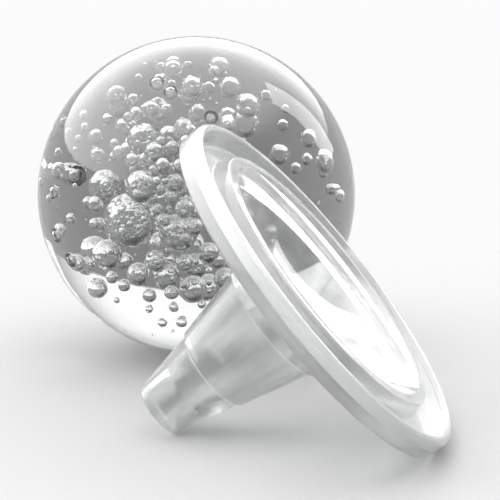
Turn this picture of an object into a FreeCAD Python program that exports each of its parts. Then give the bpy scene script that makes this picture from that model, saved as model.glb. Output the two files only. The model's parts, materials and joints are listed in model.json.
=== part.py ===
"""Bubbling ornament: a clear glass ball full of trapped air bubbles, and its clear holder.

The holder is a shallow dish with a raised ring round a spherical bowl, on a tapering hollow
stem that takes the pump's water.  The ball lifts off, so here the two stand side by side on
one floor: the ball at the back, the holder on its side in front of it, resting on the back
edge of its dish and on the tip of its stem.  Millimetres, +Z up, -Y is the front, and the
origin is the middle of the floor under the pair.
"""
import FreeCAD, Part
import Sketcher
import math
import os
import random

from FreeCAD import Placement, Rotation, Vector

doc = FreeCAD.newDocument("bubbling_ornament")
sheet = doc.addObject("Spreadsheet::Sheet", "Sizes")

# ---------------------------------------------------------------- driving dimensions
# Radii and depths of the holder are measured from its own axis and from its front rim.
SIZES = [
    ("ball_radius", 50.0),          # solid glass ball
    ("bubble_skin", 4.0),           # least glass between a bubble and the ball's surface
    ("bubble_gap", 0.25),           # least glass between two bubbles
    ("bubble_growth", 1.22),        # the large bubbles are this many times their listed radius
    ("small_bubble", 0.6),          # radius of the smallest bubble in the seeded swarm
    ("large_bubble", 2.6),          # radius of the largest one
    ("swarm_count", 170.0),         # how many bubbles the seeded swarm has
    ("swarm_width", 30.0),          # spread of the swarm
    ("column_width", 12.0),         # spread of its crowded column
    ("column_share", 0.68),         # share of the swarm that is in the column
    ("column_offset", 6.0),         # the column stands this far left of the middle
    ("clear_depth", 23.0),          # below this, under the middle, the glass is nearly clear
    ("rim_radius", 50.0),           # outside of the dish
    ("band_height", 6.4),           # height of the dish's outer band
    ("bead_radius", 1.55),          # half-round bead along the top of the band
    ("trough_radius", 45.4),        # outer edge of the trough's floor
    ("trough_depth", 4.2),          # floor of the trough, below the rim
    ("ring_foot_radius", 39.8),     # inner edge of the trough's floor
    ("ring_radius", 38.6),          # outer edge of the raised ring's flat top
    ("bowl_mouth_radius", 35.5),    # inner edge of the raised ring, where the bowl starts
    ("seat_film", 0.5),             # water film between the ball and the bowl
    ("bowl_wall", 2.2),             # thickness of the bowl
    ("collar_radius", 17.6),        # short collar where the stem leaves the bowl
    ("neck_radius", 16.4),          # top of the stem, under the collar
    ("neck_depth", 18.0),
    ("shoulder_radius", 12.0),      # lower end of the wide part of the stem
    ("shoulder_depth", 38.2),
    ("spigot_radius", 11.1),        # upper end of the narrow part of the stem
    ("spigot_depth", 39.1),
    ("tip_radius", 7.9),            # lower end of the stem, outside
    ("tip_depth", 57.2),
    ("edge_round", 0.6),            # rounding of the dish's back edge and of the tip
    ("throat_radius", 15.5),        # hole at the bottom of the bowl
    ("stem_wall", 2.2),             # wall of the wide part, measured across the axis
    ("bore_radius", 6.2),           # straight socket inside the tip
    ("bore_length", 10.0),
    ("holder_across", 36.9),        # middle of the front rim, to the right of the ball's middle
    ("holder_forward", 95.4),       # and in front of it
    ("holder_swing", 9.7),          # degrees: the dish's opening swings this far forward
]
for row, (alias, value) in enumerate(SIZES, start=1):
    sheet.set(f"A{row}", alias)
    sheet.set(f"B{row}", str(value))
    sheet.setAlias(f"B{row}", alias)
doc.recompute()


def size(alias):
    """A driving dimension, read back from the sheet."""
    return float(sheet.get(alias))


# ---------------------------------------------------------------- glass ball
# The larger bubbles in the ball's own frame: across (+ right), back, up, radius.  They crowd
# into a loose column left of the middle, and the swarm of small ones fills in round them.
LARGE_BUBBLES = [
    (-14.6, -6.0, -4.8, 5.1), (-19.5, 1.0, 1.8, 2.9), (-12.4, -9.0, 3.6, 3.1),
    (-11.4, 0.0, 12.3, 2.8), (-8.2, 4.0, 17.5, 2.3), (-0.8, -2.0, 25.0, 2.2),
    (7.3, 3.0, 23.2, 2.2), (11.6, -2.0, 20.6, 2.4), (-5.2, 2.0, 28.0, 2.1),
    (-18.6, -3.0, 24.0, 2.2), (10.3, 3.0, 15.0, 2.6), (-18.7, 2.0, -12.6, 2.6),
    (-3.9, -3.0, -7.6, 3.4), (-6.4, 3.0, -17.0, 2.4), (-0.9, -3.0, -19.8, 2.5),
    (-0.4, 4.0, -14.9, 2.1), (-12.6, -4.0, -16.6, 2.1), (-7.4, 5.0, -10.8, 2.2),
    (-8.8, -7.0, -13.6, 2.0), (-2.0, 8.0, -11.6, 2.8), (2.6, -6.0, -11.8, 1.9),
    (-2.4, -10.0, -1.6, 1.8), (-7.0, 8.0, -2.4, 2.3), (-21.2, 0.0, 8.8, 1.4),
    (-21.0, 5.0, 11.6, 1.4), (-31.0, 0.0, 5.6, 1.7), (-33.0, -4.0, 1.4, 1.4),
    (-22.6, -7.0, -1.0, 1.5), (-25.8, 0.0, -14.6, 1.7), (-22.6, 3.0, -15.0, 1.5),
    (-14.2, 4.0, 8.8, 1.7), (-10.9, -5.0, 8.6, 1.6), (-8.2, 2.0, 8.6, 1.7),
    (-5.9, 5.0, 11.1, 1.9), (-10.4, 9.0, 5.3, 1.9), (0.4, 0.0, 18.0, 1.8),
    (-2.6, -4.0, 15.4, 2.0), (7.1, -4.0, 18.6, 1.7), (18.0, 0.0, 9.0, 2.0),
    (24.6, 2.0, 12.4, 1.8), (29.6, -1.0, 8.2, 2.3), (25.4, -4.0, 9.0, 1.2),
    (18.2, 4.0, 14.6, 1.1), (22.0, -2.0, 6.4, 1.2), (31.8, 3.0, -0.6, 1.3),
    (4.0, 5.0, -14.0, 1.4), (5.8, -1.0, -17.6, 1.9), (4.6, 9.0, 3.0, 2.2),
    (0.8, 12.0, -3.4, 2.6), (-13.2, 11.0, -9.0, 2.5), (-4.0, 14.0, 6.0, 2.4),
    (-15.6, 9.0, 17.0, 2.0), (3.4, -9.0, 9.4, 1.7), (-3.4, -13.0, 8.6, 1.5),
    (-8.2, -1.0, 26.8, 1.4), (-14.2, -2.0, 21.8, 1.4), (-15.0, -3.0, 18.1, 1.1),
    (-13.0, 1.0, 17.6, 1.3), (-15.8, 0.0, 14.6, 1.3), (-6.6, -4.0, 20.0, 1.3),
    (-25.0, 2.0, 17.6, 1.1), (-25.0, -1.0, 15.6, 0.9), (-29.2, 0.0, 14.6, 0.9),
    (-30.8, 2.0, 9.2, 1.0), (-28.6, 5.0, 4.0, 1.1), (-32.2, 3.0, -1.0, 0.8),
    (-27.6, -2.0, -4.8, 1.0), (-22.0, -2.0, -5.8, 1.0), (-20.4, 2.0, -6.4, 1.2),
    (-8.6, -11.0, -1.6, 1.1), (-5.0, 0.0, -23.6, 0.9), (-3.4, -1.0, -27.0, 1.1),
    (-7.6, -2.0, -27.4, 0.9), (-10.2, 1.0, -24.0, 0.7), (15.6, 1.0, 22.4, 1.2),
    (4.0, 0.0, 28.6, 1.1), (19.6, 2.0, 19.0, 0.9), (27.4, 3.0, 4.6, 1.0),
]


def fits(centre, radius, placed):
    """Whether a bubble has enough glass between it, the others and the ball's surface."""
    if centre.Length + radius + size("bubble_skin") > size("ball_radius"):
        return False
    return all((centre - other).Length > radius + r + size("bubble_gap") for other, r in placed)


def nearest_room(across, back, up, radius, placed):
    """The listed place if the bubble fits there, or else the nearest one in front or behind."""
    for step in range(int(size("ball_radius"))):
        for shift in (step / 2, -step / 2):
            centre = Vector(across, back + shift, up)
            if fits(centre, radius, placed):
                return centre
    raise ValueError(f"no room for the bubble at {(across, back, up)}")


def bubble_swarm():
    """The large bubbles, then a seeded swarm of smaller ones round the left-hand column."""
    placed = []
    for across, back, up, listed_radius in LARGE_BUBBLES:
        radius = listed_radius * size("bubble_growth")
        placed.append((nearest_room(across, back, up, radius, placed), radius))
    draw = random.Random(11)
    wanted = len(placed) + int(size("swarm_count"))
    while len(placed) < wanted:
        in_column = draw.random() < size("column_share")
        width = size("column_width" if in_column else "swarm_width") / 2
        centre = Vector(draw.gauss(-size("column_offset"), width), draw.gauss(0, width),
                        draw.gauss(0, size("swarm_width") / 2))
        share = draw.random() ** 1.6
        radius = size("small_bubble") + share * (size("large_bubble") - size("small_bubble"))
        if centre.z > -size("clear_depth") and fits(centre, radius, placed):
            placed.append((centre, radius))
    return placed


glass = doc.addObject("Part::Sphere", "ball_blank")
glass.setExpression("Radius", "Sizes.ball_radius")

# Trapped air is many small spheres of hand-set and seeded places, which no single
# parametric feature describes, so its shape is set directly.
air = doc.addObject("Part::Feature", "trapped_air")
air.Shape = Part.makeCompound([Part.makeSphere(r, centre) for centre, r in bubble_swarm()])

ball = doc.addObject("Part::Cut", "bubble_ball")
ball.Label = "bubble_ball"
ball.Base = glass
ball.Tool = air

# ---------------------------------------------------------------- holder
# One turned section in (radius, height) from the socket's mouth, out and up over the outside,
# across the dish and down the waterway; heights are from the front rim.  Each step runs to
# the point named, as a line or as an arc of the radius given that bends left or right.
BOWL = "(Sizes.ball_radius + Sizes.seat_film)"
SHELL = "(Sizes.ball_radius + Sizes.seat_film + Sizes.bowl_wall)"
BOWL_MIDDLE = f"sqrt({BOWL} ^ 2 - Sizes.bowl_mouth_radius ^ 2)"
TIP = "-Sizes.tip_depth"
BACK = "-Sizes.band_height"
ROUND = "Sizes.edge_round"
BEAD = "Sizes.bead_radius"
SECTION = [
    ("line", "Sizes.bore_radius", TIP),
    ("line", f"Sizes.tip_radius - {ROUND}", TIP),
    ("left", "Sizes.tip_radius", f"{TIP} + {ROUND}", ROUND),
    ("line", "Sizes.spigot_radius", "-Sizes.spigot_depth"),
    ("line", "Sizes.shoulder_radius", "-Sizes.shoulder_depth"),
    ("line", "Sizes.neck_radius", "-Sizes.neck_depth"),
    ("line", "Sizes.collar_radius", "-Sizes.neck_depth"),
    ("line", "Sizes.collar_radius", f"{BOWL_MIDDLE} - sqrt({SHELL} ^ 2 - Sizes.collar_radius ^ 2)"),
    ("left", f"sqrt({SHELL} ^ 2 - (Sizes.band_height + {BOWL_MIDDLE}) ^ 2)", BACK, SHELL),
    ("line", f"Sizes.rim_radius - {ROUND}", BACK),
    ("left", "Sizes.rim_radius", f"{BACK} + {ROUND}", ROUND),
    ("line", "Sizes.rim_radius", f"-{BEAD}"),
    ("left", f"Sizes.rim_radius - {BEAD}", "0", BEAD),
    ("left", f"Sizes.rim_radius - 2 * {BEAD}", f"-{BEAD}", BEAD),
    ("line", "Sizes.trough_radius", "-Sizes.trough_depth"),
    ("line", "Sizes.ring_foot_radius", "-Sizes.trough_depth"),
    ("line", "Sizes.ring_radius", "0"),
    ("line", "Sizes.bowl_mouth_radius", "0"),
    ("right", "Sizes.throat_radius", f"{BOWL_MIDDLE} - sqrt({BOWL} ^ 2 - Sizes.throat_radius ^ 2)",
     BOWL),
    ("line", "Sizes.shoulder_radius - Sizes.stem_wall", "-Sizes.shoulder_depth"),
    ("line", "Sizes.bore_radius", f"{TIP} + Sizes.bore_length"),
]


def origin_plane(body, role):
    """One of a body's own origin planes."""
    return next(item for item in body.Origin.OriginFeatures if item.Role == role)


def evaluate(expression):
    """The present value of an expression on the sheet, as a plain number."""
    value = sheet.evalExpression(expression)
    return float(getattr(value, "Value", value))


def arc_middle(start, end, radius, bends_left):
    """The centre of the arc that runs from start to end and bends to the side given."""
    chord = end - start
    side = Vector(-chord.y, chord.x, 0).normalize()
    rise = math.sqrt(radius ** 2 - (chord.Length / 2) ** 2)
    return (start + end) * 0.5 + side * (rise if bends_left else -rise)


def bind(sketch, constraint, expression):
    """Adds a constraint to a sketch and ties its value to the sheet."""
    index = sketch.addConstraint(constraint)
    sketch.setExpression(f"Constraints[{index}]", expression)


def draw_section(sketch, steps):
    """Draws the closed outline of the steps; every corner and arc is bound to the sheet."""
    corners = [Vector(evaluate(step[1]), evaluate(step[2]), 0) for step in steps]
    ends = []
    for index, step in enumerate(steps):
        start = corners[index - 1]
        end = corners[index]
        if step[0] == "line":
            edge = sketch.addGeometry(Part.LineSegment(start, end), False)
            first, last = 1, 2
        else:
            radius = evaluate(step[3])
            middle = arc_middle(start, end, radius, step[0] == "left")
            angles = [math.atan2(p.y - middle.y, p.x - middle.x) for p in (start, end)]
            first, last = (1, 2) if step[0] == "left" else (2, 1)
            if step[0] == "right":
                angles.reverse()
            circle = Part.Circle(middle, Vector(0, 0, 1), radius)
            edge = sketch.addGeometry(Part.ArcOfCircle(circle, *angles), False)
            bind(sketch, Sketcher.Constraint("Radius", edge, radius), step[3])
        bind(sketch, Sketcher.Constraint("DistanceX", -1, 1, edge, last, end.x), step[1])
        bind(sketch, Sketcher.Constraint("DistanceY", -1, 1, edge, last, end.y), step[2])
        ends.append((edge, first, last))
    for index, (edge, first, _) in enumerate(ends):
        before, _, before_last = ends[index - 1]
        sketch.addConstraint(Sketcher.Constraint("Coincident", before, before_last, edge, first))


holder = doc.addObject("PartDesign::Body", "ball_holder")
holder.Label = "ball_holder"
section = holder.newObject("Sketcher::SketchObject", "holder_section")
section.AttachmentSupport = [(origin_plane(holder, "XZ_Plane"), "")]
section.MapMode = "FlatFace"
draw_section(section, SECTION)
turned = holder.newObject("PartDesign::Revolution", "holder_turned")
turned.Profile = section
turned.ReferenceAxis = (section, ["V_Axis"])
turned.Angle = 360.0
holder.Tip = turned
doc.recompute()

# ---------------------------------------------------------------- the two on one floor
# On its side the holder touches the floor with two rounded edges of the same radius, so the
# line between the middles of those roundings lies level and gives the axis its slope.
drop = size("rim_radius") - size("tip_radius")
run = size("tip_depth") - size("band_height")
slope = math.atan2(drop, run)
rounding = size("edge_round")
rim_height = (rounding + (size("band_height") - rounding) * math.sin(slope)
              + (size("rim_radius") - rounding) * math.cos(slope))

ball.Placement = Placement(Vector(0, 0, size("ball_radius")), Rotation())
tilt = Rotation(Vector(0, 1, 0), 90.0 - math.degrees(slope))
swing = Rotation(Vector(0, 0, 1), -size("holder_swing"))
middle = Vector(size("holder_across"), -size("holder_forward"), rim_height)
holder.Placement = Placement(middle, swing * tilt)
doc.recompute()

pair = Part.makeCompound([ball.Shape, holder.Shape]).optimalBoundingBox(False)
centring = Vector(-pair.Center.x, -pair.Center.y, 0)
for piece in (ball, holder):
    piece.Placement = Placement(piece.Placement.Base + centring, piece.Placement.Rotation)
doc.recompute()

# ---------------------------------------------------------------- checks and export
for item in doc.Objects:
    if {"Invalid", "Error"} & set(item.State):
        raise RuntimeError(f"{item.Name} failed: {item.State}")

os.makedirs("parts", exist_ok=True)
for piece in (ball, holder):
    if piece.Shape.isNull() or not piece.Shape.isValid():
        raise RuntimeError(f"{piece.Label} has no valid shape")
    piece.Shape.exportStep(f"parts/{piece.Label}.step")
    box = piece.Shape.optimalBoundingBox(False)
    print(f"{piece.Label}: {len(piece.Shape.Solids)} solid, {piece.Shape.Volume:.0f} mm3, "
          f"x {box.XMin:.2f}..{box.XMax:.2f} y {box.YMin:.2f}..{box.YMax:.2f} "
          f"z {box.ZMin:.2f}..{box.ZMax:.2f}")
print(f"ball middle {tuple(round(v, 3) for v in ball.Placement.Base)}")
print(f"rim middle {tuple(round(v, 3) for v in holder.Placement.Base)}, slope "
      f"{math.degrees(slope):.2f} degrees, gap {ball.Shape.distToShape(holder.Shape)[0]:.2f} mm")
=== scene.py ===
"""A clear glass ball full of air bubbles, and the clear holder that lies in front of it.

Metres, in the frame of the CAD model: +Z up, the holder in front at -Y and the ball behind it.
The holder's own sizes are in millimetres, as in the CAD model, and are scaled by MM when used.
"""
import json
import math
import random

import bmesh
import bpy
import numpy as np
from mathutils import Matrix, Vector


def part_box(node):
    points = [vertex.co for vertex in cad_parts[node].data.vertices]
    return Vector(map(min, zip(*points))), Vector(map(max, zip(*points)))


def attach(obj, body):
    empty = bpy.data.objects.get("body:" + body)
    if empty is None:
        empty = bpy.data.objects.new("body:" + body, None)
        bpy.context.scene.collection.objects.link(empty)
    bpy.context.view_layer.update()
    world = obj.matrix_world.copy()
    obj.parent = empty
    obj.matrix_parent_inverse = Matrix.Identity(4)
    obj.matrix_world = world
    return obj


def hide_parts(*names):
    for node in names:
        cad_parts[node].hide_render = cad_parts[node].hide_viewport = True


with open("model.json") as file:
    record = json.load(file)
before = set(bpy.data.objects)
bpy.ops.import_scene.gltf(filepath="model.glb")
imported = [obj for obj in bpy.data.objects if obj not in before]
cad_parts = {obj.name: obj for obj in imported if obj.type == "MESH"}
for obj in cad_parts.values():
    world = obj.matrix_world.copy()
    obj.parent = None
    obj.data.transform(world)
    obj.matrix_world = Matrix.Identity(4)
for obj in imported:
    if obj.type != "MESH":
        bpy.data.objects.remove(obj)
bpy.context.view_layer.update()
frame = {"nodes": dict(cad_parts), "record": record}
scene = bpy.context.scene

MM = 0.001

ball_low, ball_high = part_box("bubble_ball")
BALL_MIDDLE = (ball_low + ball_high) / 2
BALL_RADIUS = (ball_high.z - ball_low.z) / 2

# The holder, in millimetres: radii from its axis and depths from its front rim.
RIM_RADIUS, BAND_HEIGHT, BEAD_RADIUS = 50.0, 6.4, 1.55
BACK_RADIUS = 31.4              # where the bowl's back meets the band's back
TROUGH_RADIUS, TROUGH_DEPTH = 45.4, 4.2
RING_FOOT_RADIUS, RING_RADIUS = 39.8, 38.6
BOWL_RADIUS, BOWL_WALL, MOUTH_RADIUS = 50.5, 2.2, 35.5
THROAT_RADIUS, COLLAR_RADIUS = 15.5, 17.6
NECK_RADIUS, NECK_DEPTH = 16.4, 18.0
SHOULDER_RADIUS, SHOULDER_DEPTH, STEM_WALL = 12.0, 38.2, 2.2
SPIGOT_RADIUS, SPIGOT_DEPTH = 11.1, 39.1
TIP_RADIUS, TIP_DEPTH = 7.9, 57.2

# The socket inside the tip gives the bore and the holder's axis, and its distance to the rim
# gives the rim's middle.
SOCKET = next(m for m in frame["record"]["mounts"] if m["name"] == "stem_socket")
BORE_RADIUS = SOCKET["dims"]["r_mm"]
BORE_LENGTH = SOCKET["dims"]["length_mm"]
AXIS = -Vector(SOCKET["axis"]).normalized()
RIM_MIDDLE = Vector(SOCKET["pos_m"]) + AXIS * (TIP_DEPTH - BORE_LENGTH / 2) * MM


# ------------------------------------------------------------------ mesh helpers
def new_object(name, mesh, material, smooth=True):
    """Links a mesh as an object with one material."""
    if smooth:
        mesh.shade_smooth()
    mesh.materials.append(material)
    obj = bpy.data.objects.new(name, mesh)
    scene.collection.objects.link(obj)
    return obj


def unit_sphere(detail):
    """The corners and triangles of an icosphere of radius 1."""
    made = bmesh.new()
    bmesh.ops.create_icosphere(made, subdivisions=detail, radius=1.0)
    corners = np.array([vert.co for vert in made.verts])
    triangles = np.array([[vert.index for vert in face.verts] for face in made.faces])
    made.free()
    return corners, triangles


UNIT_SPHERES = {detail: unit_sphere(detail) for detail in (2, 3, 4, 5, 6)}

# The waves that swell and dent a bubble: the share of each in its wobble, and its slowest and
# fastest pitch.  A few are broad and the rest are fine.
WAVES = ((0.25, 1.5, 4.0),) * 4 + ((0.03, 6.0, 12.0),) * 5
WAVE_TURN = 6.3                 # each starts somewhere in about one turn


class Spheres:
    """Collects many spheres, then turns them into one mesh."""

    def __init__(self):
        self.corners = []
        self.triangles = []
        self.count = 0

    def add(self, middle, radius, detail, inside_out=False, wobble=0.0, seed=0):
        """One sphere; wobble swells and dents it, as a share of its radius."""
        ways, triangles = UNIT_SPHERES[detail]
        swell = np.zeros(len(ways))
        if wobble:
            draw = np.random.default_rng(seed)
            for share, slowest, fastest in WAVES:
                axis = draw.normal(size=3)
                axis /= np.linalg.norm(axis)
                pitch = draw.uniform(slowest, fastest)
                swell += np.sin(ways @ axis * pitch + draw.uniform(0, WAVE_TURN)) * share
        reach = radius * (1 + wobble * swell)
        self.corners.append(np.array(middle) + ways * reach[:, None])
        self.triangles.append((triangles[:, ::-1] if inside_out else triangles) + self.count)
        self.count += len(ways)

    def mesh(self, name):
        """Everything collected so far, as one mesh."""
        made = bpy.data.meshes.new(name)
        made.from_pydata(np.concatenate(self.corners), [], np.concatenate(self.triangles))
        return made


# ------------------------------------------------------------------ materials
def cool_grey(value):
    """A grey with a trace of blue-green."""
    return (value, value + 0.01, value + 0.01, 1)


def map_range(tree, value, start, end, low, high, interpolation="LINEAR"):
    """Low up to where the value is start, high from where it is end, and a ramp between."""
    step = tree.nodes.new("ShaderNodeMapRange")
    step.interpolation_type = interpolation
    step.inputs["From Min"].default_value = start
    step.inputs["From Max"].default_value = end
    step.inputs["To Min"].default_value = low
    step.inputs["To Max"].default_value = high
    tree.links.new(value, step.inputs["Value"])
    return step.outputs["Result"]


CLEAR = cool_grey(0.97)


def clear_material(name, ior, density, transmission, roughness, coat, ripple_scale, ripple_height):
    """Glass or clear plastic: a refracting surface, faintly rippled, round an absorbing body."""
    material = bpy.data.materials.new(name)
    material.use_nodes = True
    nodes = material.node_tree.nodes
    links = material.node_tree.links
    nodes.clear()
    output = nodes.new("ShaderNodeOutputMaterial")
    shader = nodes.new("ShaderNodeBsdfPrincipled")
    shader.inputs["Base Color"].default_value = CLEAR
    shader.inputs["Transmission Weight"].default_value = transmission
    shader.inputs["Roughness"].default_value = roughness
    shader.inputs["IOR"].default_value = ior
    shader.inputs["Coat Weight"].default_value = coat
    shader.inputs["Coat Roughness"].default_value = 0.03
    body = nodes.new("ShaderNodeVolumeAbsorption")
    body.inputs["Color"].default_value = (0.5, 0.5, 0.5, 1)
    body.inputs["Density"].default_value = density
    place = nodes.new("ShaderNodeTexCoord")
    noise = nodes.new("ShaderNodeTexNoise")
    noise.inputs["Scale"].default_value = ripple_scale
    noise.inputs["Detail"].default_value = 2.0
    bump = nodes.new("ShaderNodeBump")
    bump.inputs["Strength"].default_value = 1.0
    bump.inputs["Distance"].default_value = ripple_height
    links.new(place.outputs["Object"], noise.inputs["Vector"])
    links.new(noise.outputs["Fac"], bump.inputs["Height"])
    links.new(bump.outputs["Normal"], shader.inputs["Normal"])
    links.new(shader.outputs["BSDF"], output.inputs["Surface"])
    links.new(body.outputs["Volume"], output.inputs["Volume"])
    return material


def vary_with_radius(material, middle, axis, stem_edge, flange_edge):
    """A frosted stem and a glossy bowl, both streaked with painted shade in grey along the axis, and
    a milky flange greyed evenly with painted shade.
    """
    tree = material.node_tree
    nodes = tree.nodes
    links = tree.links
    shader = nodes["Principled BSDF"]
    place = nodes.new("ShaderNodeTexCoord")
    offset = nodes.new("ShaderNodeVectorMath")
    offset.operation = "SUBTRACT"
    offset.inputs[1].default_value = middle
    outward = nodes.new("ShaderNodeVectorMath")
    outward.operation = "CROSS_PRODUCT"
    outward.inputs[1].default_value = axis
    radius = nodes.new("ShaderNodeVectorMath")
    radius.operation = "LENGTH"
    links.new(place.outputs["Object"], offset.inputs[0])
    links.new(offset.outputs["Vector"], outward.inputs[0])
    links.new(outward.outputs["Vector"], radius.inputs[0])

    def across(edge, inside, outside):
        """One value inside an edge and another outside it, with a short fade between."""
        fade = 1.5 * MM
        return map_range(tree, radius.outputs["Value"], edge - fade, edge + fade, inside, outside)

    links.new(across(flange_edge, 0.97, 0.80), shader.inputs["Transmission Weight"])
    frost = nodes.new("ShaderNodeMath")
    frost.operation = "ADD"
    links.new(across(stem_edge, 0.17, 0.06), frost.inputs[0])
    links.new(across(flange_edge, 0.0, 0.12), frost.inputs[1])
    links.new(frost.outputs["Value"], shader.inputs["Roughness"])

    # Painted shade: the grey in the base colour stands in for the darker room seen through the clear
    # plastic. It is in streaks on the stem and bowl and even on the flange.
    streaks = nodes.new("ShaderNodeTexNoise")
    streaks.inputs["Scale"].default_value = 160.0
    streaks.inputs["Detail"].default_value = 3.0
    painted_shade_streaks = nodes.new("ShaderNodeValToRGB")
    for stop, position, value in zip(painted_shade_streaks.color_ramp.elements, (0.38, 0.60), (0.66, 0.90)):
        stop.position = position
        stop.color = cool_grey(value)
    tone = nodes.new("ShaderNodeMix")
    tone.data_type = "RGBA"
    factor, inside_tone, outside_tone = tone.inputs[0], tone.inputs[6], tone.inputs[7]
    outside_tone.default_value = cool_grey(0.74)
    links.new(outward.outputs["Vector"], streaks.inputs["Vector"])
    links.new(streaks.outputs["Fac"], painted_shade_streaks.inputs["Fac"])
    links.new(across(flange_edge, 0.0, 1.0), factor)
    links.new(painted_shade_streaks.outputs["Color"], inside_tone)
    links.new(tone.outputs[2], shader.inputs["Base Color"])


BALL_GLASS = clear_material(
    "bubble_glass", ior=1.5, density=33.0, transmission=1.0, roughness=0.0, coat=0.0,
    ripple_scale=120, ripple_height=0.08 * MM)
CLEAR_PLASTIC = clear_material(
    "clear_plastic", ior=1.49, density=20.0, transmission=0.97, roughness=0.10, coat=0.3,
    ripple_scale=70, ripple_height=0.1 * MM)
vary_with_radius(CLEAR_PLASTIC, RIM_MIDDLE, AXIS, stem_edge=18.5 * MM, flange_edge=37.0 * MM)

# ------------------------------------------------------------------ ball
SKIN_DETAIL, SPECK_DETAIL = 6, 2
BUBBLE_WOBBLE = 0.03

# Specks of air too small for the CAD model: they crowd round a place left of the middle.
SPECK_COUNT = 260
SPECK_RADII = (0.12, 0.42)      # in millimetres
SPECK_CROWD = ((-0.004, 0.017), (0, 0.017), (0.002, 0.019))     # middle and spread in X, Y and Z
SPECK_SKIN = 2.5 * MM           # least glass between a speck and the ball's surface
SPECK_GAP = 0.1 * MM            # and between a speck and any other bubble
CLEAR_BELOW = -0.03             # under this, the glass has none


def bubbles_of_the_cad():
    """The middle and radius of every void in the CAD ball, biggest first."""
    mesh = frame["nodes"]["bubble_ball"].data
    places = np.empty(len(mesh.vertices) * 3)
    mesh.vertices.foreach_get("co", places)
    edges = np.empty(len(mesh.edges) * 2, dtype=int)
    mesh.edges.foreach_get("vertices", edges)
    points, welded = np.unique(places.reshape(-1, 3).round(7), axis=0, return_inverse=True)
    one, other = welded.ravel()[edges.reshape(-1, 2)].T
    # Every corner takes the lowest label among its neighbours until each shell has one label.
    label = np.arange(len(points))
    while True:
        lower = np.minimum(label[one], label[other])
        spread = label.copy()
        np.minimum.at(spread, one, lower)
        np.minimum.at(spread, other, lower)
        spread = spread[spread]
        if np.array_equal(spread, label):
            break
        label = spread
    found = []
    for island in np.unique(label):
        shell = points[label == island]
        middle = (shell.min(axis=0) + shell.max(axis=0)) / 2
        found.append((float(np.linalg.norm(shell - middle, axis=1).max()), tuple(middle)))
    skin_first = sorted(found, reverse=True)
    return skin_first[1:]


def bubble_detail(radius):
    """How finely a bubble is divided: the larger, the finer."""
    if radius > 4.5 * MM:
        return 5
    return 4 if radius > 2.0 * MM else 3


def make_ball():
    """The ball's skin and, facing inwards, the walls of its bubbles, as one mesh."""
    spheres = Spheres()
    spheres.add(BALL_MIDDLE, BALL_RADIUS, SKIN_DETAIL)
    placed = []
    for index, (radius, middle) in enumerate(bubbles_of_the_cad()):
        spheres.add(middle, radius, bubble_detail(radius), inside_out=True, wobble=BUBBLE_WOBBLE,
                    seed=index)
        placed.append((Vector(middle), radius))
    draw = random.Random(5)
    wanted = len(placed) + SPECK_COUNT
    while len(placed) < wanted:
        offset = Vector([draw.gauss(middle, spread) for middle, spread in SPECK_CROWD])
        radius = draw.uniform(*SPECK_RADII) * MM
        middle = BALL_MIDDLE + offset
        if offset.length + radius > BALL_RADIUS - SPECK_SKIN or offset.z < CLEAR_BELOW:
            continue
        if all((middle - other).length > radius + r + SPECK_GAP for other, r in placed):
            spheres.add(middle, radius, SPECK_DETAIL, inside_out=True)
            placed.append((middle, radius))
    return new_object("glass_ball", spheres.mesh("glass_ball"), BALL_GLASS)


ball = make_ball()
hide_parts("bubble_ball")
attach(ball, "ball")

# ------------------------------------------------------------------ holder
CORNER_STEPS = 5                # faces round a softened corner
TURNS = 192                     # faces round the axis


def round_corner(before, corner, after, radius):
    """A corner of the outline rounded to a small radius."""
    a = (Vector(before) - Vector(corner)).normalized()
    b = (Vector(after) - Vector(corner)).normalized()
    half = math.acos(max(-1, min(1, a.dot(b)))) / 2
    reach = radius / math.tan(half)
    middle = Vector(corner) + (a + b).normalized() * (radius / math.sin(half))
    p = Vector(corner) + a * reach - middle
    q = Vector(corner) + b * reach - middle
    angle = math.atan2(p.x * q.y - p.y * q.x, p.dot(q))
    points = []
    for step in range(CORNER_STEPS + 1):
        t = angle * step / CORNER_STEPS
        points.append((middle.x + p.x * math.cos(t) - p.y * math.sin(t),
                       middle.y + p.x * math.sin(t) + p.y * math.cos(t)))
    return points


def on_sphere(sphere_radius, radius):
    """The point at a radius on the bowl's front or back, which share their middle."""
    middle = math.sqrt(BOWL_RADIUS ** 2 - MOUTH_RADIUS ** 2)
    return radius, middle - math.sqrt(sphere_radius ** 2 - radius ** 2)


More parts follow.
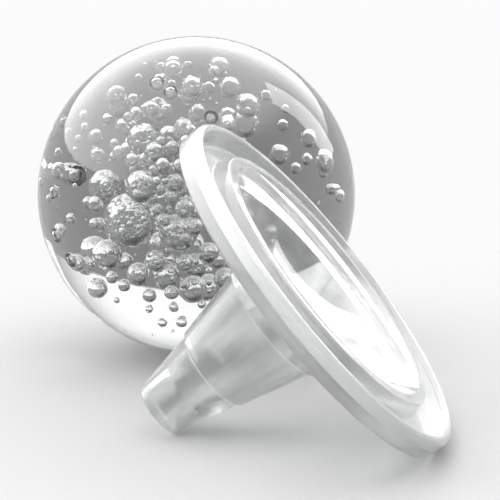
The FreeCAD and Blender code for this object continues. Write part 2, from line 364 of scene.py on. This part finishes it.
def holder_corners():
    """The turned section's corners as (radius, height from the rim), each with its rounding."""
    shell = BOWL_RADIUS + BOWL_WALL
    bead = BEAD_RADIUS * 0.98   # all but a half round, so that its two corners stay apart
    outside = [
        ((BORE_RADIUS, -TIP_DEPTH), 0.35),
        ((TIP_RADIUS, -TIP_DEPTH), 0.6),
        ((SPIGOT_RADIUS, -SPIGOT_DEPTH), 0.4),
        ((SHOULDER_RADIUS, -SHOULDER_DEPTH), 0.4),
        ((NECK_RADIUS, -NECK_DEPTH), 0.3),
        ((COLLAR_RADIUS, -NECK_DEPTH), 0.4),
        (on_sphere(shell, COLLAR_RADIUS), 0.8),
    ]
    bowl_back = [(on_sphere(shell, radius), 0)
                 for radius in np.linspace(COLLAR_RADIUS + 1.0, BACK_RADIUS - 0.8, 14)]
    dish = [
        ((BACK_RADIUS, -BAND_HEIGHT), 0.8),
        ((RIM_RADIUS, -BAND_HEIGHT), 0.6),
        ((RIM_RADIUS, 0), bead),
        ((RIM_RADIUS - 2 * BEAD_RADIUS, 0), bead),
        ((RIM_RADIUS - 2 * BEAD_RADIUS, -BEAD_RADIUS), 0.5),
        ((TROUGH_RADIUS, -TROUGH_DEPTH), 0.6),
        ((RING_FOOT_RADIUS, -TROUGH_DEPTH), 0.6),
        ((RING_RADIUS, 0), 0.4),
        ((MOUTH_RADIUS, 0), 0.35),
    ]
    bowl = [(on_sphere(BOWL_RADIUS, radius), 0)
            for radius in np.linspace(MOUTH_RADIUS - 0.8, THROAT_RADIUS + 0.9, 22)]
    waterway = [
        (on_sphere(BOWL_RADIUS, THROAT_RADIUS), 0.4),
        ((SHOULDER_RADIUS - STEM_WALL, -SHOULDER_DEPTH), 0.5),
        ((BORE_RADIUS, BORE_LENGTH - TIP_DEPTH), 0.8),
    ]
    return outside + bowl_back + dish + bowl + waterway


def holder_outline():
    """The section's outline in millimetres, with its corners rounded."""
    corners = holder_corners()
    points = []
    for index, (corner, radius) in enumerate(corners):
        if radius:
            before = corners[index - 1][0]
            after = corners[(index + 1) % len(corners)][0]
            points += round_corner(before, corner, after, radius)
        else:
            points.append(corner)
    return points


def make_holder():
    """The section turned about the stem's axis and laid where the CAD has it."""
    outline = holder_outline()
    count = len(outline)
    corners = []
    faces = []
    for turn in range(TURNS):
        angle = 2 * math.pi * turn / TURNS
        corners += [(radius * MM * math.cos(angle), radius * MM * math.sin(angle), height * MM)
                    for radius, height in outline]
        here = turn * count
        beside = (turn + 1) % TURNS * count
        for i in range(count):
            j = (i + 1) % count
            faces.append((here + i, beside + i, beside + j, here + j))
    mesh = bpy.data.meshes.new("clear_holder")
    mesh.from_pydata(corners, [], faces)
    upright_to_axis = AXIS.to_track_quat("Z", "Y").to_matrix().to_4x4()
    mesh.transform(Matrix.Translation(RIM_MIDDLE) @ upright_to_axis)
    return new_object("clear_holder", mesh, CLEAR_PLASTIC)


holder = make_holder()
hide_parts("ball_holder")
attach(holder, "holder")

# ------------------------------------------------------------------ studio
FLOOR_HALF_WIDTH = 15.0
FLOOR_GREY = 0.32

# How bright the room is: near the horizon; above that, at the front and right, and at the back
# and left; and overhead.
HORIZON_GLOW, DIM_GLOW, BRIGHT_GLOW, OVERHEAD_GLOW = 0.97, 0.9, 4.6, 3.6

STRIP_PLACE = (0.50, 0.30, 0.40)
STRIP_WIDTH, STRIP_HEIGHT = 0.20, 0.50
STRIP_POWER = 1.3


def make_floor():
    """A plain pale floor without gloss."""
    material = bpy.data.materials.new("studio_floor")
    material.use_nodes = True
    shader = material.node_tree.nodes["Principled BSDF"]
    shader.inputs["Base Color"].default_value = (FLOOR_GREY, FLOOR_GREY, FLOOR_GREY, 1)
    shader.inputs["Roughness"].default_value = 0.6
    shader.inputs["Specular IOR Level"].default_value = 0.0
    mesh = bpy.data.meshes.new("floor")
    ways = ((-1, -1), (1, -1), (1, 1), (-1, 1))
    mesh.from_pydata([(x * FLOOR_HALF_WIDTH, y * FLOOR_HALF_WIDTH, 0) for x, y in ways], [],
                     [(0, 1, 2, 3)])
    new_object("floor", mesh, material, smooth=False)


def studio_world():
    """A plain room: even near the horizon, brightest at the back left and bright overhead."""
    world = bpy.data.worlds.new("studio")
    world.use_nodes = True
    tree = world.node_tree
    tree.nodes.clear()
    coords = tree.nodes.new("ShaderNodeTexCoord")
    way = tree.nodes.new("ShaderNodeSeparateXYZ")
    tree.links.new(coords.outputs["Generated"], way.inputs["Vector"])

    def ramp(value, start, end, low=0.0, high=1.0):
        return map_range(tree, value, start, end, low, high, "SMOOTHSTEP")

    def blend(factor, low, high):
        """Low where the factor is 0 and high where it is 1; each a number or a socket."""
        mix = tree.nodes.new("ShaderNodeMix")
        tree.links.new(factor, mix.inputs["Factor"])
        for socket, value in (("A", low), ("B", high)):
            if isinstance(value, float):
                mix.inputs[socket].default_value = value
            else:
                tree.links.new(value, mix.inputs[socket])
        return mix.outputs["Result"]

    leftness = tree.nodes.new("ShaderNodeMath")
    leftness.operation = "SUBTRACT"
    tree.links.new(way.outputs["Y"], leftness.inputs[0])
    tree.links.new(way.outputs["X"], leftness.inputs[1])
    walls = ramp(leftness.outputs["Value"], -0.6, 0.6, DIM_GLOW, BRIGHT_GLOW)
    upper = blend(ramp(way.outputs["Z"], 0.62, 0.85), walls, OVERHEAD_GLOW)
    glow = blend(ramp(way.outputs["Z"], 0.25, 0.27), HORIZON_GLOW, upper)
    background = tree.nodes.new("ShaderNodeBackground")
    background.inputs["Color"].default_value = (1, 1, 1, 1)
    output = tree.nodes.new("ShaderNodeOutputWorld")
    tree.links.new(glow, background.inputs["Strength"])
    tree.links.new(background.outputs["Background"], output.inputs["Surface"])
    return world


def make_strip():
    """A tall soft light at the back right that shows only in glossy and clear surfaces."""
    data = bpy.data.lights.new("right_strip", "AREA")
    data.shape = "RECTANGLE"
    data.size = STRIP_WIDTH
    data.size_y = STRIP_HEIGHT
    data.energy = STRIP_POWER
    strip = bpy.data.objects.new("right_strip", data)
    scene.collection.objects.link(strip)
    strip.location = STRIP_PLACE
    strip.rotation_euler = (Vector(STRIP_PLACE) - RIM_MIDDLE).to_track_quat("Z", "Y").to_euler()
    strip.visible_diffuse = False


make_floor()
scene.world = studio_world()
make_strip()

# ------------------------------------------------------------------ camera
CAMERA_FROM_BALL = Vector((0.0168, -0.4398, 0.0608))
CAMERA_LOOKS_DOWN = 10.1        # degrees

camera_data = bpy.data.cameras.new("camera")
camera_data.lens = 100.8
camera_data.sensor_width = 36.0
camera_data.clip_start = 0.01
camera_data.clip_end = 100
camera = bpy.data.objects.new("camera", camera_data)
scene.collection.objects.link(camera)
camera.location = BALL_MIDDLE + CAMERA_FROM_BALL
camera.rotation_euler = (math.radians(90 - CAMERA_LOOKS_DOWN), 0, 0)
scene.camera = camera

scene.view_settings.view_transform = "Standard"

# Light crosses many walls on its way through the bubbles, and reaches the floor through the
# clear pieces only if no bounce is filtered out.
scene.cycles.max_bounces = 40
scene.cycles.transmission_bounces = 36
scene.cycles.transparent_max_bounces = 36
scene.cycles.glossy_bounces = 16
scene.cycles.blur_glossy = 0.0
